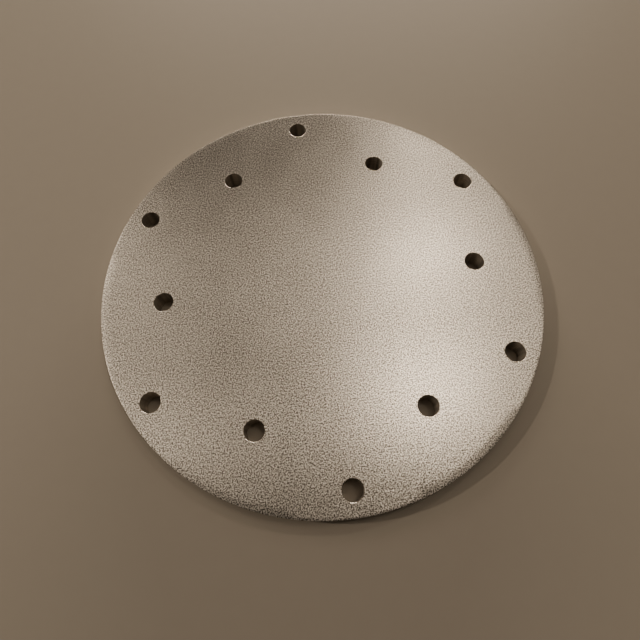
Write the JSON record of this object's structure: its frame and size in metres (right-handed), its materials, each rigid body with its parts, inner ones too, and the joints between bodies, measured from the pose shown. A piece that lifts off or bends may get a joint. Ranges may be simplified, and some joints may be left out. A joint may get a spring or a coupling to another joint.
{
  "type": "round cover plate",
  "caption": "Flat round metal cover plate with bolt holes drilled on an outer circle near the rim and on a staggered inner circle.",
  "frame": {"origin": "centre of the back face, which is the plate's lowest face", "axes": "+Z along the plate's axis of symmetry, out of the show face; +Y from the centre towards one hole of the outer circle; +X towards one hole of the inner circle"},
  "size_m": [0.25, 0.25, 0.012],
  "materials": {
    "plate_metal": "satin mill finish with a fine grain and faint straight scratches, unpainted"
  },
  "bodies": {
    "root": {"cover_plate": "plate_metal"}
  },
  "joints": []
}
